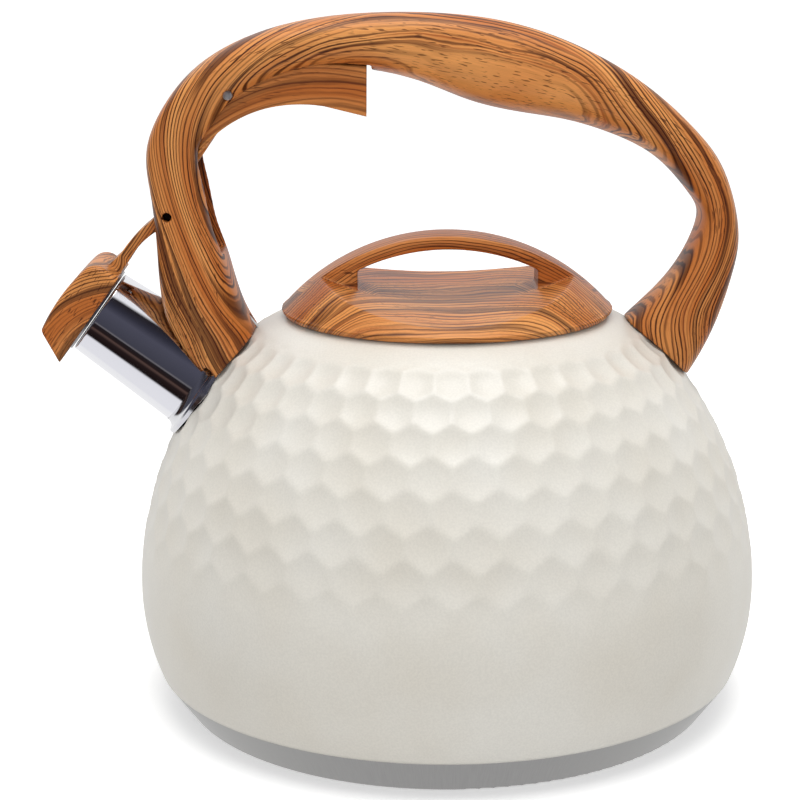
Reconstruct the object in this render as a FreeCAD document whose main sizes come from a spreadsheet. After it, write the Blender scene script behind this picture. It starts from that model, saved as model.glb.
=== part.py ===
"""Stovetop whistling kettle as a parametric FreeCAD document.

Millimetres, +Z up. The origin is the centre of the base's resting face, the spout points
towards -X and the handle lies in the XZ plane.
"""
import FreeCAD, Part
import math
import os

import Sketcher
from FreeCAD import Placement, Rotation, Vector

# Driving dimensions, kept in the document's spreadsheet.
SIZES = {
    # body of revolution
    "body_radius": 100.0,
    "equator_height": 38.4,
    "belly_curve": 71.0,
    "flank_curve": 111.4,
    "shoulder_curve": 48.0,
    "shoulder_start": 72.0,
    "wall": 0.8,
    "mouth_radius": 44.0,
    "mouth_roll": 2.0,
    "mouth_lip_height": 115.0,
    # capsule base
    "base_radius": 86.5,
    "base_edge_round": 1.2,
    "cup_top_radius": 94.9,
    "cup_height": 12.0,
    "floor_height": 5.6,
    "floor_radius": 88.0,
    # spout, measured from the centre of its mouth along its axis
    "mouth_x": -110.9,
    "mouth_z": 127.1,
    "spout_tilt": 36.0,
    "spout_mouth_radius": 14.3,
    "spout_root_radius": 16.3,
    "spout_length": 44.0,
    "collar_radius": 19.2,
    "collar_rim_depth": 40.3,
    "collar_top_depth": 37.2,
    # lid
    "lid_radius": 53.0,
    "lid_dome_curve": 70.0,
    "lid_apex": 152.0,
    "lid_widest": 128.4,
    "lid_rim_radius": 51.6,
    "lid_rim_bottom": 126.3,
    "lid_seat": 129.1,
    "plate_radius": 49.3,
    "plug_radius": 42.3,
    "plug_bottom": 119.6,
    "valley_curve": 100.0,
    "valley_bottom": 130.5,
    "bridge_width": 17.0,
    "bridge_thickness": 4.6,
    "window_half_span": 28.5,
    "lid_screw_radius": 1.6,
    # handle mechanism
    "hinge_x": -87.2,
    "hinge_z": 158.7,
    "pivot_x": -67.6,
    "pivot_z": 196.0,
    "pin_radius": 1.5,
    "pin_clearance": 0.04,
    "channel_width": 17.0,
    "crank_radius": 11.5,
    "crank_lead": 20.0,
    "hub_radius": 3.8,
    "trigger_width": 16.0,
    "tail_width": 6.0,
    "tail_depth": 7.4,
    "arm_width": 12.0,
    "arm_slot_width": 13.4,
    "ear_width": 12.0,
    "ear_gap": 7.0,
    # spout cap
    "cap_width": 30.0,
    "cap_gap": 0.9,
    "cap_outer": 12.3,
    "cap_crown_curve": 62.0,
    "cap_corner_curve": 5.0,
    "cap_low": -17.6,
    "cap_high": 15.2,
    "whistle_radius": 12.0,
    "whistle_depth": 7.0,
    "whistle_hole": 1.6,
    "vent_radius": 2.5,
    # fixings
    "bracket_thickness": 3.0,
    "bracket_length": 21.0,
    "screw_radius": 2.0,
    "screw_head_radius": 3.6,
}

doc = FreeCAD.newDocument("whistling_kettle")
sheet = doc.addObject("Spreadsheet::Sheet", "Sizes")


class Quantity:
    """A number together with the spreadsheet expression that gives it."""

    def __init__(self, value, text):
        self.value = value
        self.text = text

    def combine(self, other, value, sign):
        return Quantity(value, "(%s %s %s)" % (self.text, sign, quantity(other).text))

    def __add__(self, other):
        return self.combine(other, self.value + quantity(other).value, "+")

    def __sub__(self, other):
        return self.combine(other, self.value - quantity(other).value, "-")

    def __mul__(self, other):
        return self.combine(other, self.value * quantity(other).value, "*")

    def __neg__(self):
        return Quantity(-self.value, "(0 - %s)" % self.text)


def quantity(number):
    """The number as a Quantity, if it isn't one yet."""
    if isinstance(number, Quantity):
        return number
    return Quantity(float(number), "%.6g" % number)


def root(square):
    """Square root of a quantity."""
    return Quantity(math.sqrt(square.value), "sqrt(%s)" % square.text)


def size(name):
    """One driving dimension as a Quantity."""
    return Quantity(SIZES[name], "Sizes." + name)


def chord(curve, offset):
    """Height of a circle of radius curve at a distance offset from its centre."""
    return root(curve * curve - offset * offset)


def fill_sheet():
    """Write each driving dimension in its own cell, under its own alias."""
    for row, (name, value) in enumerate(SIZES.items(), start=1):
        sheet.set("A%d" % row, name)
        sheet.set("B%d" % row, str(value))
        sheet.setAlias("B%d" % row, name)
    doc.recompute()


def bind(thing, property_name, number):
    """Set a property from the spreadsheet."""
    thing.setExpression(property_name, quantity(number).text)


# Sketches and PartDesign features

def new_body(name):
    body = doc.addObject("PartDesign::Body", name)
    body.Label = name
    return body


def new_sketch(body, name, plane):
    sketch = body.newObject("Sketcher::SketchObject", name)
    support = [f for f in body.Origin.OriginFeatures if f.Role == plane][0]
    sketch.AttachmentSupport = [(support, "")]
    sketch.MapMode = "FlatFace"
    return sketch


def pin_down(sketch, edge, end, x, y):
    """Hold one end of an edge at (x, y), both bound to the spreadsheet."""
    for kind, number in (("DistanceX", x), ("DistanceY", y)):
        if abs(number.value) < 1e-9:
            axis = -2 if kind == "DistanceX" else -1
            sketch.addConstraint(Sketcher.Constraint("PointOnObject", edge, end, axis))
            continue
        if number.value > 0:
            constraint = Sketcher.Constraint(kind, -1, 1, edge, end, number.value)
        else:
            constraint = Sketcher.Constraint(kind, edge, end, -1, 1, -number.value)
            number = -number
        index = sketch.addConstraint(constraint)
        sketch.setExpression("Constraints[%d]" % index, number.text)


def arc_between(start, end, radius, turns_left):
    """Arc of a circle from start to end. turns_left: it runs anticlockwise."""
    half = (end - start) * 0.5
    rise = math.sqrt(max(radius ** 2 - half.Length ** 2, 0.0))
    side = Vector(-half.y, half.x, 0).normalize() * rise
    centre = start + half + (side if turns_left else -side)
    first, last = (start, end) if turns_left else (end, start)
    low = math.atan2(first.y - centre.y, first.x - centre.x)
    high = math.atan2(last.y - centre.y, last.x - centre.x)
    if high < low:
        high += 2 * math.pi
    return Part.ArcOfCircle(Part.Circle(centre, Vector(0, 0, 1), radius), low, high)


def draw_outline(sketch, corners):
    """Closed outline. A corner is (x, y) or (x, y, radius): an arc to the next corner.

    A positive radius runs anticlockwise to the next corner, a negative one clockwise.
    """
    corners = [tuple(quantity(n) for n in corner) for corner in corners]
    places = [Vector(c[0].value, c[1].value, 0) for c in corners]
    ends = []
    for number, corner in enumerate(corners):
        start = places[number]
        end = places[(number + 1) % len(places)]
        if len(corner) == 2:
            edge = sketch.addGeometry(Part.LineSegment(start, end))
            ends.append((edge, 1, 2))
            continue
        radius = corner[2]
        turns_left = radius.value > 0
        edge = sketch.addGeometry(arc_between(start, end, abs(radius.value), turns_left))
        ends.append((edge, 1, 2) if turns_left else (edge, 2, 1))
        index = sketch.addConstraint(Sketcher.Constraint("Radius", edge, abs(radius.value)))
        sketch.setExpression("Constraints[%d]" % index, (radius if turns_left else -radius).text)
    for number, corner in enumerate(corners):
        edge, first, _ = ends[number]
        before, _, last = ends[number - 1]
        sketch.addConstraint(Sketcher.Constraint("Coincident", before, last, edge, first))
        pin_down(sketch, edge, first, corner[0], corner[1])


def draw_circle(sketch, x, y, radius):
    x, y, radius = quantity(x), quantity(y), quantity(radius)
    circle = Part.Circle(Vector(x.value, y.value, 0), Vector(0, 0, 1), radius.value)
    edge = sketch.addGeometry(circle)
    index = sketch.addConstraint(Sketcher.Constraint("Radius", edge, radius.value))
    sketch.setExpression("Constraints[%d]" % index, radius.text)
    pin_down(sketch, edge, 3, x, y)


def revolve(body, name, corners):
    """Solid of revolution about the body's own Z axis, drawn as (radius, height)."""
    sketch = new_sketch(body, name + "_profile", "XZ_Plane")
    draw_outline(sketch, corners)
    turned = body.newObject("PartDesign::Revolution", name)
    turned.Profile = sketch
    turned.ReferenceAxis = (sketch, ["V_Axis"])
    turned.Angle = 360
    return turned


def side_pad(body, name, width, corners=None, circle=None):
    """Solid drawn in the XZ plane and padded to both sides of it."""
    sketch = new_sketch(body, name + "_profile", "XZ_Plane")
    if corners:
        draw_outline(sketch, corners)
    if circle:
        draw_circle(sketch, *circle)
    pad = body.newObject("PartDesign::Pad", name)
    pad.Profile = sketch
    pad.SideType = "Symmetric"
    bind(pad, "Length", width)
    return pad


def side_pocket(body, name, width, corners=None, circle=None):
    """Opening drawn in the XZ plane and cut to both sides of it."""
    sketch = new_sketch(body, name + "_profile", "XZ_Plane")
    if corners:
        draw_outline(sketch, corners)
    if circle:
        draw_circle(sketch, *circle)
    pocket = body.newObject("PartDesign::Pocket", name)
    pocket.Profile = sketch
    pocket.SideType = "Symmetric"
    bind(pocket, "Length", width)
    return pocket


def upward_pocket(body, name, radius, height):
    """Round opening cut upwards from the body's XY plane."""
    sketch = new_sketch(body, name + "_profile", "XY_Plane")
    draw_circle(sketch, 0, 0, radius)
    pocket = body.newObject("PartDesign::Pocket", name)
    pocket.Profile = sketch
    pocket.Reversed = True
    bind(pocket, "Length", height)
    return pocket


def round_edges(body, name, radius, chosen):
    """Fillet the edges of the body's last feature that chosen(edge) picks."""
    doc.recompute()
    base = body.Tip
    names = [
        "Edge%d" % number
        for number, edge in enumerate(base.Shape.Edges, start=1)
        if chosen(edge)
    ]
    fillet = body.newObject("PartDesign::Fillet", name)
    fillet.Base = (base, names)
    bind(fillet, "Radius", radius)
    doc.recompute()
    return fillet


# Places shared by several pieces

def spout_placement():
    """Frame at the spout's mouth: its Z axis points outwards along the spout."""
    turn = Rotation(Vector(0, 1, 0), SIZES["spout_tilt"] - 90)
    return Placement(Vector(SIZES["mouth_x"], 0, SIZES["mouth_z"]), turn)


def spout_point(along, outward, sideways=0.0):
    """A point of the spout's frame, in the kettle's frame."""
    return spout_placement().multVec(Vector(along, sideways, outward))


def in_spout_frame(x, z):
    """A point of the kettle's XZ plane as (along, outward) of the spout's frame."""
    local = spout_placement().inverse().multVec(Vector(x, 0, z))
    return local.x, local.z


def drive_place():
    """Centre of the drive pin at rest, on the cap's crank."""
    to_pivot = math.atan2(
        SIZES["pivot_z"] - SIZES["hinge_z"], SIZES["pivot_x"] - SIZES["hinge_x"]
    )
    lead = to_pivot + math.radians(SIZES["crank_lead"])
    return (
        SIZES["hinge_x"] + SIZES["crank_radius"] * math.cos(lead),
        SIZES["hinge_z"] + SIZES["crank_radius"] * math.sin(lead),
    )


def shell_height(radius):
    """Height of the body's outer surface at this radius, above the equator."""
    if radius < SIZES["shoulder_start"]:
        centre_radius, centre_height = shoulder_centre()
        curve = SIZES["shoulder_curve"]
        return centre_height + math.sqrt(curve ** 2 - (radius - centre_radius) ** 2)
    reach = radius + SIZES["flank_curve"] - SIZES["body_radius"]
    return SIZES["equator_height"] + math.sqrt(SIZES["flank_curve"] ** 2 - reach ** 2)


def shoulder_centre():
    """Centre of the shoulder's arc, which is tangent to the flank's arc."""
    flank_centre = SIZES["body_radius"] - SIZES["flank_curve"]
    reach = SIZES["shoulder_start"] - flank_centre
    rise = math.sqrt(SIZES["flank_curve"] ** 2 - reach ** 2)
    share = 1 - SIZES["shoulder_curve"] / SIZES["flank_curve"]
    return flank_centre + reach * share, SIZES["equator_height"] + rise * share


# Body, base and spout

def make_body_shell():
    """Deep-drawn pot with a rolled mouth and a hole behind the spout."""
    radius = size("body_radius")
    equator = size("equator_height")
    wall = size("wall")
    flank = size("flank_curve")
    shoulder = size("shoulder_curve")
    start = size("shoulder_start")
    junction = equator + chord(flank, start + flank - radius)
    share = Quantity(1, "1") - Quantity(
        shoulder.value / flank.value, "(%s / %s)" % (shoulder.text, flank.text)
    )
    centre_r = radius - flank + (start + flank - radius) * share
    centre_z = equator + (junction - equator) * share
    mouth = size("mouth_radius")
    roll = size("mouth_roll")
    lip_start = mouth + roll
    lip_top = centre_z + chord(shoulder, lip_start - centre_r)
    inner_lip = mouth + wall
    inner_start = lip_start + wall * 0.5
    inner_top = centre_z + chord(shoulder - wall, inner_start - centre_r)
    inner_join_r = start - wall * 0.75
    inner_join_z = junction - wall * 0.66
    cup_top = size("cup_height")
    step = size("cup_top_radius") - wall - 0.2
    floor = size("floor_height")
    outline = [
        (0, floor),
        (size("floor_radius"), floor),
        (step, cup_top),
        (size("cup_top_radius"), cup_top + 0.05, size("belly_curve")),
        (radius, equator, flank),
        (start, junction, shoulder),
        (lip_start, lip_top, roll + 0.3),
        (mouth, lip_top - roll),
        (mouth, size("mouth_lip_height")),
        (inner_lip, size("mouth_lip_height")),
        (inner_lip, lip_top - roll, -(roll - wall + 0.6)),
        (inner_start, inner_top, -(shoulder - wall)),
        (inner_join_r, inner_join_z, -(flank - wall)),
        (radius - wall, equator, -(size("belly_curve") - wall)),
        (step - wall * 1.2, cup_top + 0.6),
        (size("floor_radius") - wall, floor + wall),
        (0, floor + wall),
    ]
    pot = new_body("pot")
    revolve(pot, "pot_turn", outline)
    shell = doc.addObject("Part::Cut", "body_shell")
    shell.Base = pot
    shell.Tool = spout_way("spout_hole", size("spout_root_radius") + 0.1)
    return shell


# Depth of the way's lower end below the spout's mouth, in lengths of the spout.
SPOUT_WAY_DEPTH = 1.5


def spout_way(name, radius):
    """Cylinder along the spout's root, as a cutting tool."""
    way = doc.addObject("Part::Cylinder", name)
    bind(way, "Radius", radius)
    bind(way, "Height", size("spout_length"))
    way.Placement = spout_placement().multiply(
        Placement(Vector(0, 0, -SPOUT_WAY_DEPTH * SIZES["spout_length"]), Rotation())
    )
    return way


def make_base_cup():
    """Brushed steel cup that closes the capsule base."""
    radius = size("base_radius")
    wall = size("wall")
    top_r = size("cup_top_radius")
    top = size("cup_height")
    edge = size("base_edge_round")
    body = new_body("base_cup")
    revolve(body, "base_cup_turn", [
        (0, 0),
        (radius - edge, 0, edge * 1.6),
        (radius + edge * 0.45, edge * 0.8),
        (top_r, top),
        (top_r - wall, top),
        (radius - wall * 1.2, edge + wall * 0.6),
        (radius - wall * 2, wall),
        (0, wall),
    ])
    return body


def make_heat_spreader():
    """Aluminium disc between the pot's floor and the base cup."""
    body = new_body("heat_spreader")
    revolve(body, "heat_spreader_turn", [
        (0, size("wall") + 0.05),
        (size("base_radius") - 3.0, size("wall") + 0.05),
        (size("base_radius") - 2.0, size("floor_height") - 0.05),
        (0, size("floor_height") - 0.05),
    ])
    return body


def make_spout_tube():
    """Tapered steel spout with a rolled mouth."""
    mouth = size("spout_mouth_radius")
    foot = size("spout_root_radius")
    wall = size("wall")
    length = size("spout_length")
    body = new_body("spout_tube")
    revolve(body, "spout_tube_turn", [
        (mouth - 0.9, 0),
        (mouth - wall - 0.2, -0.9),
        (foot - wall, -length),
        (foot, -length),
        (foot, -length + 4.0),
        (mouth, -0.9, 0.9),
    ])
    body.Placement = spout_placement()
    return body


def make_spout_collar(envelope):
    """Flared collar round the spout's root, lying on the body."""
    foot = size("spout_root_radius") + 0.05
    rim = size("collar_radius")
    rim_depth = size("collar_rim_depth")
    body = new_body("collar_ring")
    revolve(body, "collar_turn", [
        (foot, -size("spout_length")),
        (rim, -size("spout_length")),
        (rim, -rim_depth),
        (rim - 0.5, -rim_depth + 0.5),
        (rim - 1.2, -rim_depth + 0.5, -3.0),
        (foot, -size("collar_top_depth")),
    ])
    body.Placement = spout_placement()
    collar = doc.addObject("Part::Cut", "spout_collar")
    collar.Base = body
    collar.Tool = envelope
    return collar


def body_envelope(name, offset):
    """Solid of the body's outer shape, grown by the offset, as a cutting tool."""
    centre_r, centre_z = shoulder_centre()
    flank_centre = SIZES["body_radius"] - SIZES["flank_curve"]
    equator = SIZES["equator_height"]
    flank = SIZES["flank_curve"] + offset
    shoulder = SIZES["shoulder_curve"] + offset
    lean = math.acos((SIZES["shoulder_start"] - flank_centre) / SIZES["flank_curve"])

    def arc_point(centre_x, centre_y, curve, angle):
        return Vector(centre_x + curve * math.cos(angle), 0, centre_y + curve * math.sin(angle))

    low = arc_point(flank_centre, equator, flank, 0)
    middle = arc_point(flank_centre, equator, flank, lean)
    high = arc_point(centre_r, centre_z, shoulder, math.pi / 2)
    halfway = (lean + math.pi / 2) / 2
    edges = [
        Part.Arc(low, arc_point(flank_centre, equator, flank, lean / 2), middle).toShape(),
        Part.Arc(middle, arc_point(centre_r, centre_z, shoulder, halfway), high).toShape(),
    ]
    edges += Part.makePolygon([high, Vector(0, 0, high.z), Vector(0, 0, low.z), low]).Edges
    solid = Part.Face(Part.Wire(edges)).revolve(Vector(), Vector(0, 0, 1), 360)
    envelope = doc.addObject("Part::Feature", name)
    envelope.Shape = solid
    return envelope


# Handle

# Exponent of the section's superellipse: 2 is an ellipse, a higher number is squarer.
SECTION_SQUARENESS = 2.7
LEG_SQUARENESS = 4.2

# Stations along the handle from the front foot to the rear foot: the two points where the
# outer and the inner outline pass, the width, the taper (how much wider the outer side is
# than the inner side), the twist in degrees and, on the channelled leg, the squareness of
# the section.
HANDLE_STATIONS = [
    ((-62.0, 90.0), (-47.0, 109.0), 37, 0.12, 0),
    ((-77.0, 105.0), (-60.0, 120.5), 37, 0.12, 0),
    ((-87.0, 119.0), (-66.0, 132.5), 35, 0.10, 0),
    ((-90.6, 136.0), (-70.0, 145.5), 31, 0.06, 0, LEG_SQUARENESS),
    ((-91.5, 153.0), (-73.4, 156.0), 28, 0.02, 0, LEG_SQUARENESS),
    ((-93.2, 168.0), (-75.6, 168.5), 26, 0.0, 0, LEG_SQUARENESS),
    ((-93.3, 180.0), (-77.0, 177.5), 26, 0.0, 0, LEG_SQUARENESS),
    ((-87.2, 193.3), (-73.8, 184.6), 26, 0.0, 0, LEG_SQUARENESS),
    ((-76.2, 205.2), (-66.3, 192.8), 26, 0.0, 0),
    ((-60.0, 213.8), (-54.8, 199.6), 26, 0.0, 0),
    ((-42.0, 218.5), (-40.6, 203.7), 26, 0.0, 0),
    ((-24.0, 220.3), (-24.5, 203.1), 26, 0.0, 3),
    ((-6.0, 220.2), (-7.5, 199.2), 26, 0.0, 9),
    ((12.0, 218.4), (7.5, 193.6), 26, 0.0, 14),
    ((30.0, 213.8), (23.5, 190.1), 26, 0.0, 18),
    ((48.5, 205.6), (38.5, 187.6), 25, 0.0, 18),
    ((65.5, 194.6), (54.5, 182.3), 24, 0.0, 14),
    ((79.0, 182.6), (68.0, 174.2), 23, 0.0, 8),
    ((88.0, 170.0), (77.2, 163.6), 22, 0.0, 2),
    ((92.5, 154.0), (80.0, 156.5), 22, -0.05, 0),
    ((91.2, 138.5), (74.8, 143.2), 23, -0.08, 0),
    ((86.0, 122.0), (66.5, 132.6), 25, -0.08, 0),
    ((76.5, 104.5), (57.0, 123.5), 28, -0.04, 0),
    ((62.0, 90.0), (46.0, 110.0), 30, 0.0, 0),
]
RING_POLES = 16


def section_poles(outer, inner, width, taper, twist, squareness=SECTION_SQUARENESS):
    """Ring of poles of the handle's section between two points of its outlines."""
    outer = Vector(outer[0], 0, outer[1])
    inner = Vector(inner[0], 0, inner[1])
    centre = (outer + inner) * 0.5
    across = (outer - inner).normalize()
    turn = Rotation(across.cross(Vector(0, 1, 0)), twist)
    # a periodic cubic curve runs inside its poles by this much
    swell = 3 / (2 + math.cos(2 * math.pi / RING_POLES))
    half_depth = (outer - inner).Length / 2 * swell
    half_width = width / 2 * swell
    power = 2 / squareness
    poles = []
    for step in range(RING_POLES):
        angle = 2 * math.pi * step / RING_POLES
        depth = math.copysign(abs(math.cos(angle)) ** power, math.cos(angle))
        side = math.copysign(abs(math.sin(angle)) ** power, math.sin(angle))
        reach = half_width * side * (1 + taper * depth)
        poles.append(centre + turn.multVec(across * (half_depth * depth) + Vector(0, reach, 0)))
    return poles


def handle_branch():
    """The handle before anything is cut into it: one smooth surface and two flat ends."""
    rings = [section_poles(*station) for station in HANDLE_STATIONS]
    centres = [Vector(*[sum(c) / RING_POLES for c in zip(*ring)]) for ring in rings]
    travel = [0.0]
    for before, after in zip(centres, centres[1:]):
        travel.append(travel[-1] + (after - before).Length)
    rails = []
    for number in range(RING_POLES):
        rail = Part.BSplineCurve()
        rail.interpolate(Points=[ring[number] for ring in rings], Parameters=travel)
        rails.append(rail)
    surface = Part.BSplineSurface()
    surface.buildFromPolesMultsKnots(
        [rail.getPoles() for rail in rails],
        [1] * (RING_POLES + 1), rails[0].getMultiplicities(),
        [float(number) for number in range(RING_POLES + 1)], rails[0].getKnots(),
        True, False, 3, rails[0].Degree,
    )
    skin = surface.toShape()
    ends = [edge for edge in skin.Edges if edge.isClosed()]
    caps = [Part.Face(Part.Wire(edge)) for edge in ends]
    solid = Part.Solid(Part.makeShell([skin] + caps))
    solid.fix(0.001, 0.001, 0.001)
    if solid.Volume < 0:
        solid.reverse()
    return solid


# Inner space of the front leg, between its two side walls, in the XZ plane.
CHANNEL_CORNERS = [
    (-56.0, 146.5),
    (-87.6, 146.5),
    (-87.6, 160.0),
    (-92.4, 163.5),
    (-92.4, 173.0),
    (-90.2, 180.0),
    (-84.0, 191.5),
    (-74.0, 201.5),
    (-59.0, 209.6),
    (-43.0, 214.0),
    (-23.6, 215.8),
    (-23.6, 190.0),
    (-50.0, 186.0),
]


def plate_in_xz(corners, width):
    """Plate of a polygon of the XZ plane, centred on that plane."""
    points = [Vector(x, -width / 2, z) for x, z in corners]
    face = Part.Face(Part.makePolygon(points + points[:1]))
    return face.extrude(Vector(0, width, 0))


def cross_bore(x, z, radius, near, far):
    """Round bore along Y."""
    return Part.makeCylinder(radius, far - near, Vector(x, near, z), Vector(0, 1, 0))


# Ends of the cross pins along Y. The far side shows the pins' heads in their bores.
PIN_NEAR = -9.6
PIN_FAR = 11.3
PIN_BORE_NEAR = -17.6
PIN_BORE_FAR = 11.5

# Opening in the face of the front leg through which the cap's arm comes out.
ARM_SLOT_DEPTH = 16.0
ARM_SLOT_HEIGHT = 17.5
ARM_SLOT_CORNER = (-102.0, 148.0)

# Running gap between the handle and the spout or its collar.
SPOUT_ROOM = 1.0
COLLAR_ROOM = 0.3


def make_handle(envelope):
    """Moulded handle: branch shape, channel for the mechanism, fork over the spout."""
    branch = handle_branch().cut(envelope.Shape)
    channel = plate_in_xz(CHANNEL_CORNERS, SIZES["channel_width"])
    slot_width = SIZES["arm_slot_width"]
    arm_slot = Part.makeBox(
        ARM_SLOT_DEPTH, slot_width, ARM_SLOT_HEIGHT,
        Vector(ARM_SLOT_CORNER[0], -slot_width / 2, ARM_SLOT_CORNER[1]),
    )
    axis = spout_placement().Rotation.multVec(Vector(0, 0, 1))
    tube_way = Part.makeCone(
        SIZES["spout_root_radius"] + SPOUT_ROOM, SIZES["spout_mouth_radius"] + SPOUT_ROOM, 90,
        spout_point(0, -60), axis,
    )
    collar_way = Part.makeCylinder(
        SIZES["collar_radius"] + COLLAR_ROOM, 30,
        spout_point(0, -SIZES["collar_top_depth"] - 30 + COLLAR_ROOM), axis,
    )
    cuts = [channel, arm_slot, tube_way, collar_way]
    for x, z in ((SIZES["hinge_x"], SIZES["hinge_z"]), (SIZES["pivot_x"], SIZES["pivot_z"])):
        cuts.append(cross_bore(x, z, SIZES["pin_radius"] + 0.01, PIN_BORE_NEAR, PIN_BORE_FAR))
    for foot in (FRONT_FOOT, REAR_FOOT):
        cuts.extend(bracket_space(foot))
    for tool in cuts:
        branch = branch.cut(tool)
    handle = doc.addObject("Part::Feature", "handle")
    handle.Shape = max(branch.Solids, key=lambda solid: solid.Volume)
    return handle


# Where the two brackets stand on the body: the radius, the side of the kettle, the length of
# the welded foot along the slope and its width.
FRONT_FOOT = {"radius": 64.4, "side": -1, "foot": 3.6, "width": 18.0}
REAR_FOOT = {"radius": 68.0, "side": 1, "foot": 14.0, "width": 16.0}
FOOT_THICKNESS = 1.6
SCREW_REACH = 14.0


def foot_frame(foot):
    """Frame on the body's surface: Z along the outward normal, Y as the kettle's."""
    radius = foot["radius"]
    centre_r, centre_z = shoulder_centre()
    height = shell_height(radius)
    lean = math.degrees(math.atan2(radius - centre_r, height - centre_z))
    turn = Rotation(Vector(0, 1, 0), foot["side"] * lean)
    return Placement(Vector(foot["side"] * radius, 0, height), turn)


def bracket_space(foot):
    """Room in the handle for a bracket and its screw."""
    frame = foot_frame(foot)
    gap = 0.25
    tab = SIZES["bracket_thickness"] / 2 + gap
    tab_half = foot_tab(foot) / 2 + gap
    slot = Part.makeBox(
        2 * tab_half, 2 * tab, SIZES["bracket_length"] + gap + 10, Vector(-tab_half, -tab, -10)
    )
    pad = Part.makeBox(
        foot["foot"] + 2 * gap, foot["width"] + 2 * gap, FOOT_THICKNESS + gap + 10,
        Vector(-foot["foot"] / 2 - gap, -foot["width"] / 2 - gap, -10),
    )
    for tool in (slot, pad):
        tool.Placement = frame.multiply(tool.Placement)
    spot = frame.multVec(Vector(0, 0, SCREW_REACH))
    shank = cross_bore(spot.x, spot.z, SIZES["screw_radius"] + 0.02, -8.0, 20.0)
    head = cross_bore(spot.x, spot.z, SIZES["screw_head_radius"] + 0.3, 8.0, 30.0)
    return [slot, pad, shank, head]


def foot_tab(foot):
    """Breadth of a bracket's upright tab, along the slope."""
    return 9.0 if foot["side"] < 0 else 12.0


def make_bracket(name, foot, envelope):
    """Steel bracket: a foot plate welded on the body and an upright tab."""
    frame = foot_frame(foot)
    plate = doc.addObject("Part::Box", name + "_foot")
    plate.Length = foot["foot"]
    plate.Width = foot["width"]
    plate.Height = FOOT_THICKNESS + 2
    plate.Placement = frame.multiply(
        Placement(Vector(-foot["foot"] / 2, -foot["width"] / 2, -2), Rotation())
    )
    tab = doc.addObject("Part::Box", name + "_tab")
    tab.Length = foot_tab(foot)
    bind(tab, "Width", size("bracket_thickness"))
    bind(tab, "Height", size("bracket_length") + 2)
    tab.Placement = frame.multiply(
        Placement(Vector(-foot_tab(foot) / 2, -SIZES["bracket_thickness"] / 2, -2), Rotation())
    )
    hole = doc.addObject("Part::Cylinder", name + "_hole")
    bind(hole, "Radius", size("screw_radius"))
    hole.Height = 10
    spot = frame.multVec(Vector(0, 0, SCREW_REACH))
    hole.Placement = Placement(Vector(spot.x, -5, spot.z), Rotation(Vector(1, 0, 0), -90))
    joined = doc.addObject("Part::MultiFuse", name + "_joined")
    joined.Shapes = [plate, tab]
    drilled = doc.addObject("Part::Cut", name + "_drilled")
    drilled.Base = joined
    drilled.Tool = hole
    cleared = doc.addObject("Part::Cut", name + "_cleared")
    cleared.Base = drilled
    cleared.Tool = spout_way(name + "_collar_way", size("collar_radius") + COLLAR_ROOM)
    bracket = doc.addObject("Part::Cut", name)
    bracket.Base = cleared
    bracket.Tool = envelope
    return bracket


def make_handle_screw(name, foot):
    """Countersunk-style cap screw that goes through the bracket's tab."""
    body = new_body(name)
    shank = size("screw_radius") - 0.02
    head = size("screw_head_radius")
    revolve(body, name + "_turn", [
        (0, -6.5),
        (shank, -6.5),
        (shank, 8.0),
        (head, 8.0),
        (head, 10.2, 1.2),
        (head - 1.0, 11.2),
        (0, 11.2),
    ])
    for number, angle in enumerate((0, 90)):
        sketch = new_sketch(body, "%s_recess_%d" % (name, number), "XY_Plane")
        long_half, short_half = (1.8, 0.4) if angle == 0 else (0.4, 1.8)
        draw_outline(sketch, [
            (-long_half, -short_half),
            (long_half, -short_half),
            (long_half, short_half),
            (-long_half, short_half),
        ])
        sketch.AttachmentOffset = Placement(Vector(0, 0, 9.4), Rotation())
        recess = body.newObject("PartDesign::Pocket", "%s_cross_%d" % (name, number))
        recess.Profile = sketch
        recess.Reversed = True
        recess.Length = 3
    spot = foot_frame(foot).multVec(Vector(0, 0, SCREW_REACH))
    body.Placement = Placement(Vector(spot.x, 0, spot.z), Rotation(Vector(1, 0, 0), -90))
    return body


def make_cross_pin(name, x, z, near, far):
    """Steel pin along Y with rounded ends."""
    body = new_body(name)
    radius = size("pin_radius")
    revolve(body, name + "_turn", [
        (0, near),
        (radius - 0.4, near, 0.4),
        (radius, near + 0.4),
        (radius, far - 0.4, 0.4),
        (radius - 0.4, far),
        (0, far),
    ])
    body.Placement = Placement(Vector(x, 0, z), Rotation(Vector(1, 0, 0), -90))
    return body


# Trigger

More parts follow.
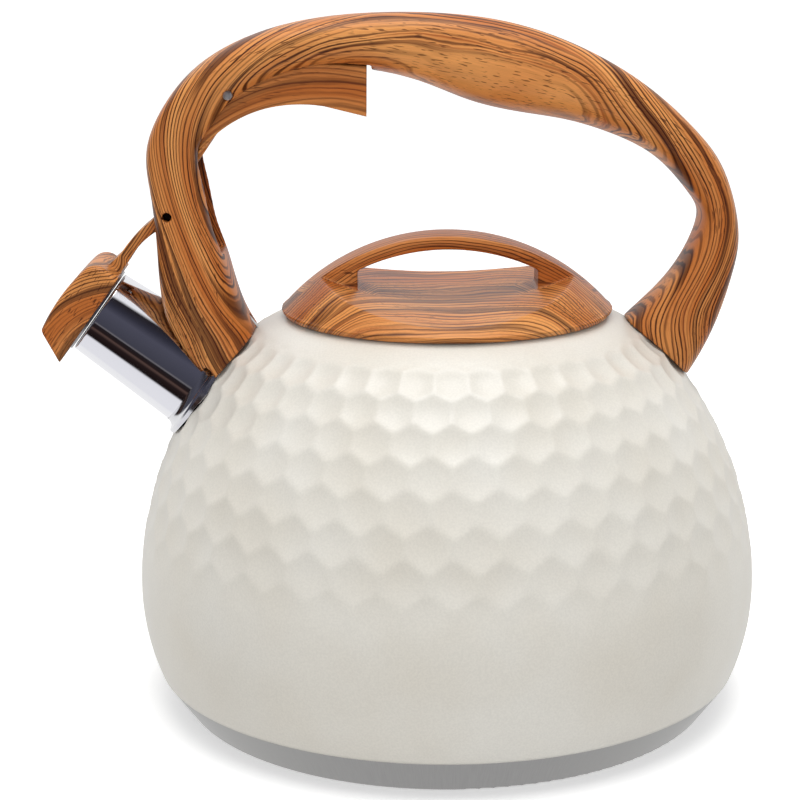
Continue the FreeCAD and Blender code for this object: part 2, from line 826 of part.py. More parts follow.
def make_trigger():
    """Finger lever with a slotted tail that drives the cap's crank."""
    body = new_body("trigger")
    pivot_x, pivot_z = size("pivot_x"), size("pivot_z")
    side_pad(body, "trigger_finger", size("trigger_width"), corners=[
        (-77.6, 177.2),
        (-71.1, 184.2, -40.0),
        (-56.1, 191.6, -46.0),
        (-38.2, 192.2),
        (-25.2, 189.0),
        (-25.0, 204.6),
        (-45.0, 206.0, 60.0),
        (-62.0, 202.6),
        (-70.6, 200.0, 7.0),
        (-75.0, 193.0),
    ])
    drive_x, drive_z = drive_place()
    reach = Vector(drive_x - SIZES["pivot_x"], drive_z - SIZES["pivot_z"], 0)
    down = Vector(reach).normalize()
    across = Vector(-down.y, down.x, 0)
    half = SIZES["tail_depth"] / 2

    def tail_point(along, sideways):
        return (
            pivot_x + down.x * along + across.x * sideways,
            pivot_z + down.y * along + across.y * sideways,
        )

    end = reach.Length + half + 0.6
    side_pad(body, "trigger_tail", size("tail_width"), corners=[
        tail_point(0, -half),
        tail_point(end, -half) + (half * 1.15,),
        tail_point(end, half),
        tail_point(0, half),
    ])
    slot_half = SIZES["pin_radius"] + 0.25
    side_pocket(body, "trigger_slot", size("tail_width") + 2, corners=[
        tail_point(reach.Length - 1.3, -slot_half),
        tail_point(reach.Length + 0.5, -slot_half) + (slot_half * 1.001,),
        tail_point(reach.Length + 0.5, slot_half),
        tail_point(reach.Length - 1.3, slot_half) + (slot_half * 1.001,),
    ])
    bore = size("pin_radius") + size("pin_clearance")
    side_pocket(body, "trigger_bore", size("trigger_width") + 2, circle=(pivot_x, pivot_z, bore))
    return body


# Spout cap and whistle

def make_spout_cap():
    """Moulded cap with its arm, hinge hub and crank, drawn in the spout's frame."""
    body = new_body("spout_cap")
    low, high = size("cap_low"), size("cap_high")
    outer = size("cap_outer")
    gap = size("cap_gap")
    hinge = in_spout_frame(SIZES["hinge_x"], SIZES["hinge_z"])
    drive = in_spout_frame(*drive_place())
    crown = size("cap_crown_curve")
    corner = size("cap_corner_curve")
    crown_x = quantity(-1.4)
    crown_z = outer - crown
    corner_x = high - corner
    corner_z = crown_z + chord(crown - corner, corner_x - crown_x)
    blend = Quantity(
        (crown.value / (crown - corner).value), "(%s / %s)" % (crown.text, (crown - corner).text)
    )
    lip = low + 5.2
    side_pad(body, "cap_block", size("cap_width"), corners=[
        (low, gap),
        (high, gap),
        (high, corner_z, corner),
        (crown_x + (corner_x - crown_x) * blend, crown_z + (corner_z - crown_z) * blend, crown),
        (lip, crown_z + chord(crown, lip - crown_x)),
    ])
    half_width = SIZES["cap_width"] / 2
    round_edges(body, "cap_rounding", 2.0, lambda edge: (
        abs(edge.BoundBox.YMin - edge.BoundBox.YMax) < 0.01
        and abs(abs(edge.BoundBox.YMin) - half_width) < 0.01
        and edge.BoundBox.XMax > lip.value + 0.5
        and edge.BoundBox.ZMax > gap.value + 0.5
    ))
    side_pad(body, "cap_arm", size("arm_width"), corners=[
        (high - 3.0, gap + 0.3),
        (high + 6.0, gap + 0.5, -24.0),
        (hinge[0] - 6.0, hinge[1] - 0.2),
        (hinge[0], hinge[1] - 3.6),
        (hinge[0], hinge[1] + 3.4),
        (hinge[0] - 5.0, hinge[1] + 3.3, 40.0),
        (high + 5.0, gap + 3.8),
        (high - 3.0, gap + 5.6),
    ])
    side_pad(body, "cap_hub", size("arm_width"), circle=(hinge[0], hinge[1], size("hub_radius")))
    crank = Vector(drive[0] - hinge[0], drive[1] - hinge[1], 0).normalize()
    across = Vector(-crank.y, crank.x, 0) * 3.5
    side_pad(body, "cap_crank", size("ear_width"), corners=[
        (hinge[0] - across.x, hinge[1] - across.y),
        (drive[0] - across.x, drive[1] - across.y, 3.52),
        (drive[0] + across.x, drive[1] + across.y),
        (hinge[0] + across.x, hinge[1] + across.y),
    ])
    side_pocket(body, "crank_gap", size("ear_gap"), corners=[
        (hinge[0] - 4.2, hinge[1] - 4.2),
        (hinge[0] + 18.0, hinge[1] - 4.2),
        (hinge[0] + 18.0, hinge[1] + 12.0),
        (hinge[0] - 4.2, hinge[1] + 12.0),
    ])
    bore = size("pin_radius") + size("pin_clearance")
    side_pocket(body, "hinge_bore", 20, circle=(hinge[0], hinge[1], bore))
    side_pocket(body, "drive_bore", 20, circle=(drive[0], drive[1], size("pin_radius") + 0.01))
    upward_pocket(body, "whistle_recess", size("whistle_radius") + 0.1,
                  gap + size("whistle_depth") + 0.1)
    upward_pocket(body, "vent", size("vent_radius"), outer + 5)
    body.Placement = spout_placement()
    return body


def make_whistle_cup():
    """Thin steel cup pressed into the cap, with a flange over the spout's mouth."""
    body = new_body("whistle_cup")
    radius = size("whistle_radius")
    gap = size("cap_gap")
    flange = size("spout_mouth_radius") + 0.5
    revolve(body, "whistle_cup_turn", [
        (radius - 0.6, 0.3),
        (flange, 0.3),
        (flange, gap - 0.02),
        (radius, gap - 0.02),
        (radius, gap + size("whistle_depth")),
        (size("vent_radius"), gap + size("whistle_depth")),
        (size("vent_radius"), gap + size("whistle_depth") - 0.6),
        (radius - 0.6, gap + size("whistle_depth") - 0.6),
    ])
    body.Placement = spout_placement()
    return body


def make_whistle_plate(name, height):
    """Domed whistle disc with a central hole."""
    body = new_body(name)
    hole = size("whistle_hole")
    rim = size("whistle_radius") - 0.62
    height = quantity(height)
    revolve(body, name + "_turn", [
        (hole, height + 0.4),
        (hole + 3.0, height + 0.4),
        (hole + 4.2, height),
        (rim, height),
        (rim, height + 0.5),
        (hole + 4.4, height + 0.5),
        (hole + 3.2, height + 0.9),
        (hole, height + 0.9),
    ])
    body.Placement = spout_placement()
    return body


def make_cap_spring():
    """Torsion spring round the hinge pin, between the ears of the crank."""
    wire = 0.35
    coil = SIZES["pin_radius"] + 0.75
    turns = 5
    pitch = 1.0
    width = turns * pitch
    helix = Part.makeHelix(pitch, width, coil)
    start = Vector(coil, 0, 0)
    section = Part.Wire(Part.makeCircle(wire, start, Vector(0, 1, 0)))
    spring = helix.makePipeShell([section], True, True)
    centre = Vector(SIZES["hinge_x"], -width / 2, SIZES["hinge_z"])
    feature = doc.addObject("Part::Feature", "cap_spring")
    feature.Shape = spring
    feature.Placement = Placement(centre, Rotation(Vector(1, 0, 0), -90))
    return feature


# Lid

def make_lid_cover():
    """Domed cover, scooped front and back so that a bridge grip is left."""
    body = new_body("lid_cover")
    curve = size("lid_dome_curve")
    radius = size("lid_radius")
    apex = size("lid_apex")
    edge_r = radius - 0.6
    edge_z = apex - curve + chord(curve, edge_r)
    bore = size("lid_screw_radius") + 0.02
    seat = size("lid_seat")
    revolve(body, "lid_dome", [
        (bore, size("plug_bottom") + 0.9),
        (5.0, size("plug_bottom") + 0.9),
        (5.0, seat),
        (size("plate_radius") + 0.3, seat),
        (size("plate_radius") + 0.3, size("lid_rim_bottom") + 0.8),
        (size("lid_rim_radius"), size("lid_rim_bottom"), 4.0),
        (radius, size("lid_widest"), 1.6),
        (edge_r, edge_z, curve),
        (0, apex),
        (0, seat - 0.6),
        (bore, seat - 0.6),
    ])
    valley = size("valley_curve")
    bottom = size("valley_bottom")
    wide = size("lid_radius") + 4
    rise = bottom + valley - chord(valley, wide)
    half_bridge = SIZES["bridge_width"] / 2
    for number, side in enumerate((-1, 1)):
        name = "lid_valley_%d" % number
        sketch = new_sketch(body, name + "_profile", "XZ_Plane")
        draw_outline(sketch, [
            (-wide, rise, valley),
            (wide, rise),
            (wide, apex + 5),
            (-wide, apex + 5),
        ])
        sketch.AttachmentOffset = Placement(Vector(0, 0, -side * half_bridge), Rotation())
        pocket = body.newObject("PartDesign::Pocket", name)
        pocket.Profile = sketch
        pocket.Reversed = side < 0
        pocket.Length = 60
    span = size("window_half_span")
    window_floor = bottom + valley - chord(valley, span)
    window_top = apex - curve + chord(curve - size("bridge_thickness"), span)
    side_pocket(body, "lid_window", size("bridge_width") + 2, corners=[
        (-span, window_floor, valley),
        (span, window_floor),
        (span, window_top, curve - size("bridge_thickness")),
        (-span, window_top),
    ])
    return body


def make_lid_plate():
    """Steel plate whose plug goes into the mouth."""
    body = new_body("lid_plate")
    wall = size("wall")
    plug = size("plug_radius")
    bottom = size("plug_bottom")
    seat = size("lid_seat") - 0.02
    revolve(body, "lid_plate_turn", [
        (size("lid_screw_radius") + 0.2, bottom),
        (plug - 1.5, bottom, 1.5),
        (plug, bottom + 1.5),
        (plug, seat - wall),
        (size("plate_radius"), seat - wall),
        (size("plate_radius"), seat),
        (plug - wall, seat),
        (plug - wall, bottom + wall + 0.7, -0.7),
        (plug - wall - 0.7, bottom + wall),
        (size("lid_screw_radius") + 0.2, bottom + wall),
    ])
    return body


def make_lid_gasket():
    """Silicone ring with two lips round the plug."""
    body = new_body("lid_gasket")
    inner = size("plug_radius") + 0.02
    lip = size("mouth_radius") - 0.35
    low = size("plug_bottom") + 2.0
    revolve(body, "lid_gasket_turn", [
        (inner, low),
        (lip - 0.5, low),
        (lip, low + 0.8),
        (lip - 0.6, low + 1.8),
        (lip, low + 2.8),
        (lip - 0.5, low + 3.6),
        (inner, low + 3.6),
    ])
    return body


def make_lid_washer():
    """Flat washer under the lid screw's head."""
    body = new_body("lid_washer")
    top = size("plug_bottom") - 0.02
    revolve(body, "lid_washer_turn", [
        (size("lid_screw_radius") + 0.2, top - 0.8),
        (5.0, top - 0.8),
        (5.0, top),
        (size("lid_screw_radius") + 0.2, top),
    ])
    return body


def make_lid_screw():
    """Pan-head screw that holds the plate on the cover."""
    body = new_body("lid_screw")
    seat = size("plug_bottom") - 0.84
    radius = size("lid_screw_radius")
    revolve(body, "lid_screw_turn", [
        (0, seat - 2.2),
        (2.6, seat - 2.2, 1.6),
        (3.4, seat - 1.0),
        (3.4, seat),
        (radius, seat),
        (radius, size("lid_seat") - 1.2),
        (0, size("lid_seat") - 1.2),
    ])
    return body


def build():
    """Make every sub-part and return those to write, by name."""
    fill_sheet()
    envelope = body_envelope("body_envelope", 0.04)
    handle_room = body_envelope("handle_room", 0.3)
    hinge = (SIZES["hinge_x"], SIZES["hinge_z"])
    pivot = (SIZES["pivot_x"], SIZES["pivot_z"])
    drive = drive_place()
    ear = SIZES["ear_width"] / 2
    gap = SIZES["cap_gap"]
    return [
        make_body_shell(),
        make_base_cup(),
        make_heat_spreader(),
        make_spout_tube(),
        make_spout_collar(envelope),
        make_handle(handle_room),
        make_bracket("front_bracket", FRONT_FOOT, envelope),
        make_bracket("rear_bracket", REAR_FOOT, envelope),
        make_handle_screw("front_handle_screw", FRONT_FOOT),
        make_handle_screw("rear_handle_screw", REAR_FOOT),
        make_cross_pin("cap_hinge_pin", hinge[0], hinge[1], PIN_NEAR, PIN_FAR),
        make_cross_pin("trigger_pin", pivot[0], pivot[1], PIN_NEAR - 2.0, PIN_FAR),
        make_cap_spring(),
        make_trigger(),
        make_spout_cap(),
        make_cross_pin("drive_pin", drive[0], drive[1], -ear, ear),
        make_whistle_cup(),
        make_whistle_plate("whistle_front_plate", gap + 1.2),
        make_whistle_plate("whistle_back_plate", gap + 4.4),
        make_lid_cover(),
        make_lid_plate(),
        make_lid_gasket(),
        make_lid_washer(),
        make_lid_screw(),
    ]


def check_and_write(parts):
    """Stop on any failed object, then write one STEP file for each sub-part."""
    doc.recompute()
    for thing in doc.Objects:
        if "Invalid" in thing.State or "Error" in thing.State:
            raise RuntimeError("%s failed: %s" % (thing.Name, thing.State))
    for part in parts:
        if part.Shape.isNull() or not part.Shape.isValid():
            raise RuntimeError("%s has no valid shape" % part.Label)
        solids = len(part.Shape.Solids)
        box = part.Shape.BoundBox
        print("%-22s %d solid(s) %10.1f mm3  x %.1f..%.1f y %.1f..%.1f z %.1f..%.1f" % (
            part.Label, solids, part.Shape.Volume,
            box.XMin, box.XMax, box.YMin, box.YMax, box.ZMin, box.ZMax,
        ))
    os.makedirs("parts", exist_ok=True)
    for part in parts:
        part.Shape.exportStep("parts/%s.step" % part.Label)


check_and_write(build())
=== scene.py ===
"""Looks of the stovetop whistling kettle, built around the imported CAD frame.

Metres, +Z up, the spout towards -X. The dimpled enamel body is a mesh of its own; the
wood-look pieces are smoothed copies of their CAD nodes, with the grain's coordinates kept
on their vertices; the other CAD nodes stay and get materials.
"""

import math

import bmesh
import bpy
import numpy as np
from mathutils import Matrix, Vector


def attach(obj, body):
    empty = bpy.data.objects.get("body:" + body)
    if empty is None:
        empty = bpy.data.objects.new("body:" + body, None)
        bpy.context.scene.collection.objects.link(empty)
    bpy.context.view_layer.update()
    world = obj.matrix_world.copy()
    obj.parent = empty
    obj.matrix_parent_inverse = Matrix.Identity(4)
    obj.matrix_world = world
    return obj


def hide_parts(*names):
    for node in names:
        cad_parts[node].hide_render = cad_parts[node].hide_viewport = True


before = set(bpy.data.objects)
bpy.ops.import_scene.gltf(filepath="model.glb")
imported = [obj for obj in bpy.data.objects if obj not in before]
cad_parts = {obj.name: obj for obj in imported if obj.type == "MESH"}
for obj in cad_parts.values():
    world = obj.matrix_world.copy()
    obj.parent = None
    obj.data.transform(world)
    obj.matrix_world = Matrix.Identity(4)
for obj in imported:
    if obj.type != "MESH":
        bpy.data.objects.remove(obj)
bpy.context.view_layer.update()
MM = 0.001

# The body's profile, in millimetres, as the CAD shell has it.
BODY_RADIUS = 100.0
EQUATOR = 38.4
BELLY_CURVE = 71.0
FLANK_CURVE = 111.4
SHOULDER_CURVE = 48.0
SHOULDER_START = 72.0
CUP_TOP_RADIUS = 94.9
CUP_HEIGHT = 12.0
FLOOR_HEIGHT = 5.6
FLOOR_RADIUS = 87.9
WALL = 0.8
# The pot's inner wall stands further in than the CAD one, clear of the dimples.
INNER_WALL = 1.04
FLOOR_CENTRE = 1.0
MOUTH_RADIUS = 44.0
MOUTH_ROLL = 2.0
MOUTH_LIP = 115.0

# The spout's axis, from the centre of its mouth.
SPOUT_MOUTH = np.array([-110.9, 0.0, 127.1])
SPOUT_TILT = math.radians(36.0)
SPOUT_OUTWARD = np.array([-math.cos(SPOUT_TILT), 0.0, math.sin(SPOUT_TILT)])
SPOUT_UPWARD = np.array([math.sin(SPOUT_TILT), 0.0, math.cos(SPOUT_TILT)])
SPOUT_HOLE = 17.3
SPOUT_HOLE_DEPTH = 70.0

# The hammered band: DIMPLE_TURN is its turn about the axis in columns, BOWL_REACH how far a
# bowl spreads and RIDGE_LIMIT how high the ridges stand, as a share of the depth.
DIMPLES_AROUND = 42
DIMPLE_TURN = 0.4
BOWL_REACH = 1.15
RIDGE_LIMIT = -0.4
DIMPLE_ROW = 10.1
DIMPLE_DEPTH = 1.0
DIMPLE_SOFTNESS = 3.5
HIGHEST_ROW = 117.8
FADE_BOTTOM = 46.0
FADE_TOP = 70.0


# ---------------------------------------------------------------- meshes

def new_object(name, points, faces, smooth=True):
    """A mesh object from points in millimetres."""
    mesh = bpy.data.meshes.new(name)
    mesh.from_pydata([tuple(p) for p in np.asarray(points) * MM], [], faces)
    mesh.update()
    for polygon in mesh.polygons:
        polygon.use_smooth = smooth
    thing = bpy.data.objects.new(name, mesh)
    bpy.context.scene.collection.objects.link(thing)
    return thing


def points_of(thing):
    """A mesh object's vertices, in millimetres."""
    flat = np.empty(len(thing.data.vertices) * 3)
    thing.data.vertices.foreach_get("co", flat)
    return flat.reshape(-1, 3) / MM


def arc(centre, radius, start, end, step):
    """Points on a circle between two angles, about step apart, without the last one."""
    count = max(2, int(abs(end - start) * radius / step))
    turns = np.linspace(start, end, count, endpoint=False)
    return [(centre[0] + radius * math.cos(t), centre[1] + radius * math.sin(t)) for t in turns]


def angle_at(centre, point):
    """Direction from the centre to the point."""
    return math.atan2(point[1] - centre[1], point[0] - centre[0])


def shell_profile(step):
    """Outer profile of the body from the base cup's rim to the mouth's lip."""
    belly = (BODY_RADIUS - BELLY_CURVE, EQUATOR)
    flank = (BODY_RADIUS - FLANK_CURVE, EQUATOR)
    reach = SHOULDER_START - flank[0]
    start = (SHOULDER_START, EQUATOR + math.sqrt(FLANK_CURVE ** 2 - reach ** 2))
    share = 1 - SHOULDER_CURVE / FLANK_CURVE
    shoulder = (flank[0] + reach * share, EQUATOR + (start[1] - EQUATOR) * share)
    lip_r = MOUTH_RADIUS + MOUTH_ROLL
    lip = (lip_r, shoulder[1] + math.sqrt(SHOULDER_CURVE ** 2 - (lip_r - shoulder[0]) ** 2))
    foot = (CUP_TOP_RADIUS, CUP_HEIGHT)
    points = arc(belly, BELLY_CURVE, angle_at(belly, foot), 0.0, step)
    points += arc(flank, FLANK_CURVE, 0.0, angle_at(flank, start), step)
    points += arc(shoulder, SHOULDER_CURVE, angle_at(shoulder, start),
                  angle_at(shoulder, lip), step)
    roll = (lip[0], lip[1] - MOUTH_ROLL)
    points += arc(roll, MOUTH_ROLL, math.pi / 2, math.pi, step * 0.5)
    points += [(MOUTH_RADIUS, z) for z in (roll[1], (roll[1] + MOUTH_LIP) / 2, MOUTH_LIP)]
    return np.array(points)


def dimple_depth(radius, height, slant, turn):
    """How far the surface is pressed in, in millimetres, where slant runs down the wall."""
    pitch = 2 * math.pi * radius / DIMPLES_AROUND
    column = turn / (2 * math.pi) * DIMPLES_AROUND - DIMPLE_TURN
    row = slant / DIMPLE_ROW
    nearest = np.zeros_like(column)
    for step in (-1, 0, 1, 2):
        line = np.floor(row) + step
        shift = np.mod(line, 2) * 0.5
        for side in (0, 1):
            across = (column - shift - np.floor(column - shift) - side) * pitch
            along = (row - line) * DIMPLE_ROW
            nearest += np.exp(-(across ** 2 + along ** 2) / DIMPLE_SOFTNESS)
    distance = -DIMPLE_SOFTNESS * np.log(nearest + 1e-30)
    reach = (pitch * 0.5) ** 2 * BOWL_REACH
    bowl = np.clip(1 - distance / reach, RIDGE_LIMIT, 1.0)
    fade = np.clip((height - FADE_BOTTOM) / (FADE_TOP - FADE_BOTTOM), 0, 1)
    fade = fade * fade * (3 - 2 * fade)
    end = np.clip((slant / DIMPLE_ROW + 0.75) / 0.5, 0, 1)
    return DIMPLE_DEPTH * bowl * fade * end


def inner_profile(outer, inward, over_lip):
    """The rest of the pot's profile: down inside the mouth, down the inner wall, and out and
    back over and under the floor to the base cup's rim."""
    mouth = MOUTH_RADIUS + WALL
    wall = (outer + inward * INNER_WALL)[~over_lip]
    step = CUP_TOP_RADIUS - WALL - 0.2
    return np.array([
        (mouth, MOUTH_LIP),
        (mouth, outer[over_lip][0, 1] - MOUTH_ROLL),
        *wall[::-4],
        (step - WALL * 1.2, CUP_HEIGHT + 0.6),
        (FLOOR_RADIUS - WALL, FLOOR_HEIGHT + WALL),
        (FLOOR_CENTRE, FLOOR_HEIGHT + WALL),
        (FLOOR_CENTRE, FLOOR_HEIGHT),
        (FLOOR_RADIUS, FLOOR_HEIGHT),
        (step, CUP_HEIGHT),
    ])


def ring_faces(rings, columns):
    """Quads between each ring of points and the next; the last one closes on the first."""
    faces = []
    for i in range(rings):
        low, high = i * columns, (i + 1) % rings * columns
        for j in range(columns):
            k = (j + 1) % columns
            faces.append((low + j, low + k, high + k, high + j))
    return faces


def in_spout_hole(points):
    """Which points lie where the spout's hole goes through the wall."""
    arm = points - SPOUT_MOUTH
    depth = arm @ SPOUT_OUTWARD
    off_axis = np.linalg.norm(arm - depth[:, None] * SPOUT_OUTWARD, axis=1)
    return (off_axis < SPOUT_HOLE) & (depth < 0) & (depth > -SPOUT_HOLE_DEPTH)


def make_body(columns=546, step=1.0):
    """The enamelled pot: dimpled outside, plain inside, rolled mouth and floor."""
    outer = shell_profile(step)
    tangent = np.gradient(outer, axis=0)
    tangent /= np.linalg.norm(tangent, axis=1)[:, None]
    inward = np.stack([-tangent[:, 1], tangent[:, 0]], axis=1)
    lengths = np.concatenate([[0], np.cumsum(np.linalg.norm(np.diff(outer, axis=0), axis=1))])
    slant = lengths[np.argmax(outer[:, 1] > HIGHEST_ROW)] - lengths
    turns = np.linspace(0, 2 * math.pi, columns, endpoint=False)
    pressed = np.array([dimple_depth(r, z, s, turns) for (r, z), s in zip(outer, slant)])
    over_lip = outer[:, 0] <= MOUTH_RADIUS + MOUTH_ROLL
    pressed[over_lip] = 0
    inside = np.repeat(inner_profile(outer, inward, over_lip)[:, :, None], columns, axis=2)
    outside = outer[:, :, None] + inward[:, :, None] * pressed[:, None, :]
    rings = np.concatenate([outside, inside])
    radius, height = rings[:, 0], rings[:, 1]
    points = np.stack([radius * np.cos(turns), radius * np.sin(turns), height], axis=2)
    points = points.reshape(-1, 3)
    lost = in_spout_hole(points)
    faces = [face for face in ring_faces(len(rings), columns) if not any(lost[p] for p in face)]
    pot = new_object("kettle_pot", points, faces)
    drop_loose(pot)
    return pot


def drop_loose(thing):
    """Removes vertices that no face uses."""
    work = bmesh.new()
    work.from_mesh(thing.data)
    bmesh.ops.delete(work, geom=[v for v in work.verts if not v.link_faces], context="VERTS")
    work.to_mesh(thing.data)
    work.free()


def moulded_copy(node, name, voxel, smoothing=0.5, rounds=3):
    """A CAD node's mesh with even facets and slightly softened edges."""
    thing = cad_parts[node].copy()
    thing.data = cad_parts[node].data.copy()
    thing.name = name
    thing.parent = None
    thing.matrix_world = Matrix.Identity(4)
    bpy.context.scene.collection.objects.link(thing)
    remesh = thing.modifiers.new("even", "REMESH")
    remesh.mode = "VOXEL"
    remesh.voxel_size = voxel * MM
    soften = thing.modifiers.new("soften", "SMOOTH")
    soften.factor = smoothing
    soften.iterations = rounds
    bpy.context.view_layer.update()
    ready = thing.evaluated_get(bpy.context.evaluated_depsgraph_get())
    mesh = bpy.data.meshes.new_from_object(ready)
    mesh.name = name
    thing.modifiers.clear()
    thing.data = mesh
    mesh.materials.clear()
    for polygon in mesh.polygons:
        polygon.use_smooth = True
    return thing


def keep_grain(thing, along, ring, across, around, calm=0.0):
    """Stores the grain's coordinates, in millimetres, on the vertices: "grain" has the growth
    ring, and "fibre" the plain distances along and across. "calm" is 1 where no lines show."""
    for name, second in (("grain", ring), ("fibre", across)):
        layer = thing.data.attributes.new(name, "FLOAT_VECTOR", "POINT")
        values = np.stack([along, second, around], axis=1).astype(np.float32)
        layer.data.foreach_set("vector", values.ravel())
    layer = thing.data.attributes.new("calm", "FLOAT", "POINT")
    layer.data.foreach_set("value", np.broadcast_to(calm, along.shape).astype(np.float32))


# ---------------------------------------------------------------- materials

class Paint:
    """One material's node tree, with short calls for the nodes that the kettle needs."""

    def __init__(self, name):
        self.material = bpy.data.materials.new(name)
        self.material.use_nodes = True
        self.tree = self.material.node_tree
        self.shader = self.tree.nodes["Principled BSDF"]

    def add(self, kind, **settings):
        """A new node with the given settings."""
        node = self.tree.nodes.new(kind)
        for key, value in settings.items():
            setattr(node, key, value)
        return node

    def put(self, socket, value):
        """Sets a socket to a number or links it to another socket."""
        if isinstance(value, bpy.types.NodeSocket):
            self.tree.links.new(value, socket)
        else:
            socket.default_value = value

    def sum(self, kind, first, second=0.0, third=0.0):
        """The result of one arithmetic node."""
        node = self.add("ShaderNodeMath", operation=kind)
        for socket, value in zip(node.inputs, (first, second, third)):
            self.put(socket, value)
        return node.outputs[0]

    def scaled(self, vector, factors):
        """A vector times three factors."""
        node = self.add("ShaderNodeVectorMath", operation="MULTIPLY")
        self.put(node.inputs[0], vector)
        node.inputs[1].default_value = factors
        return node.outputs[0]

    def noise(self, vector, scale, detail=3.0, rough=0.5):
        """Smooth noise about 0.5."""
        node = self.add("ShaderNodeTexNoise")
        self.put(node.inputs["Vector"], vector)
        node.inputs["Scale"].default_value = scale
        node.inputs["Detail"].default_value = detail
        node.inputs["Roughness"].default_value = rough
        return node.outputs[0]

    def ramp(self, value, stops):
        """Maps a number to colours or greys: stops are (position, grey or colour)."""
        node = self.add("ShaderNodeValToRGB")
        self.put(node.inputs[0], value)
        marks = node.color_ramp.elements
        while len(marks) < len(stops):
            marks.new(0.5)
        for mark, (position, colour) in zip(marks, stops):
            mark.position = position
            mark.color = (tuple(colour) if hasattr(colour, "__len__") else (colour,) * 3) + (1,)
        return node.outputs[0]

    def mix(self, share, low, high, blend="MIX"):
        """Blends two colours, each a socket or three numbers."""
        node = self.add("ShaderNodeMix", data_type="RGBA", blend_type=blend)
        self.put(node.inputs["Factor"], share)
        for key, colour in (("A", low), ("B", high)):
            is_socket = isinstance(colour, bpy.types.NodeSocket)
            self.put(node.inputs[key], colour if is_socket else tuple(colour) + (1,))
        return node.outputs["Result"]

    def bump(self, height, strength, distance):
        """Relief on the shading only; the distance is in metres."""
        node = self.add("ShaderNodeBump")
        node.inputs["Strength"].default_value = strength
        node.inputs["Distance"].default_value = distance
        self.put(node.inputs["Height"], height)
        self.tree.links.new(node.outputs[0], self.shader.inputs["Normal"])

    def place(self):
        """Position in the object's own frame, in millimetres."""
        node = self.add("ShaderNodeTexCoord")
        return self.scaled(node.outputs["Object"], (1000, 1000, 1000))

    def set(self, **values):
        """Sets the shader's own inputs; an underscore stands for a space."""
        for key, value in values.items():
            self.put(self.shader.inputs[key.replace("_", " ")], value)


def rgb(red, green, blue):
    """A display colour, 0 to 255, as linear light."""
    return tuple((c / 255 / 12.92) if c <= 10 else ((c / 255 + 0.055) / 1.055) ** 2.4
                 for c in (red, green, blue))


def enamel():
    """Pearl cream enamel: faint mottling and a fine sparkle."""
    paint = Paint("pearl_enamel")
    place = paint.place()
    cloud = paint.noise(place, 0.03, 2.0)
    grain = paint.noise(place, 1.6, 2.0)
    base = paint.ramp(cloud, [(0.3, rgb(221, 216, 205)), (0.7, rgb(227, 224, 216))])
    fine = paint.ramp(grain, [(0.35, 0.94), (0.65, 1.0)])
    paint.set(Base_Color=paint.mix(1.0, base, fine, "MULTIPLY"))
    rough = paint.ramp(grain, [(0.3, 0.36), (0.7, 0.44)])
    paint.set(Roughness=rough, Coat_Weight=0.18, Coat_Roughness=0.2, Specular_IOR_Level=0.45)
    paint.bump(grain, 0.05, 0.0002)
    return paint.material


LIGHT_WOOD = rgb(232, 158, 88)
DARK_WOOD = rgb(196, 110, 46)
RED_WOOD = rgb(142, 62, 22)
STREAK = rgb(58, 16, 2)
PORE = rgb(62, 22, 6)

# How finely the wood's noises vary along the grain, across it and round the piece, per
# millimetre.
WANDER = (0.016, 0.08, 0.05)
WAVER = (0.07, 0.30, 0.18)
FIBRE = (0.10, 4.0, 4.0)
PORE_DASH = (0.28, 2.4, 2.4)
PORE_PATCH = (0.02, 0.06, 0.06)
# How far, in millimetres, the slow and the quick noise push a growth line aside.
WANDER_REACH = 5.5
WAVER_REACH = 1.0


def growth_rings(paint, seed):
    """The growth ring at each place, pushed about by noise, and the layer that it lies in:
    coordinates that hardly change along the grain."""
    stored = paint.add("ShaderNodeAttribute", attribute_name="grain").outputs["Vector"]
    shift = paint.add("ShaderNodeVectorMath", operation="ADD")
    paint.put(shift.inputs[0], stored)
    shift.inputs[1].default_value = (seed, 0, 0)
    grain = shift.outputs[0]
    parts = paint.add("ShaderNodeSeparateXYZ")
    paint.put(parts.inputs[0], grain)
    ring = parts.outputs["Y"]
    for scale, reach in ((WANDER, WANDER_REACH), (WAVER, WAVER_REACH)):
        push = paint.sum("SUBTRACT", paint.noise(paint.scaled(grain, scale), 1.0, 2.0), 0.5)
        ring = paint.sum("MULTIPLY_ADD", push, reach, ring)
    layers = paint.add("ShaderNodeCombineXYZ")
    paint.put(layers.inputs["X"], paint.sum("MULTIPLY", parts.outputs["X"], 0.010))
    paint.put(layers.inputs["Y"], ring)
    paint.put(layers.inputs["Z"], paint.sum("MULTIPLY", parts.outputs["Z"], 0.015))
    return ring, layers.outputs[0]


def growth_lines(paint, ring, layer, spacing):
    """Dark lines at an even spacing, some strong and some faint."""
    wave = paint.sum("SINE", paint.sum("MULTIPLY", ring, 2 * math.pi / spacing))
    strength = paint.noise(paint.scaled(layer, (1.5, 0.55, 1.5)), 1.0, 2.0)
    return paint.sum("MULTIPLY", paint.ramp(wave, [(0.2, 0.0), (0.85, 1.0)]),
                     paint.ramp(strength, [(0.35, 0.3), (0.55, 1.0)]))


def pore_marks(paint, plain, calm):
    """Short dashes along the grain, in patches and all over the calm figure."""
    dash = paint.noise(paint.scaled(plain, PORE_DASH), 1.0, 0.0)
    patch = paint.noise(paint.scaled(plain, PORE_PATCH), 1.0, 1.0)
    porous = paint.sum("MAXIMUM", calm, paint.ramp(patch, [(0.46, 0.0), (0.54, 1.0)]))
    return paint.sum("MULTIPLY", paint.ramp(dash, [(0.66, 0.0), (0.72, 1.0)]), porous)


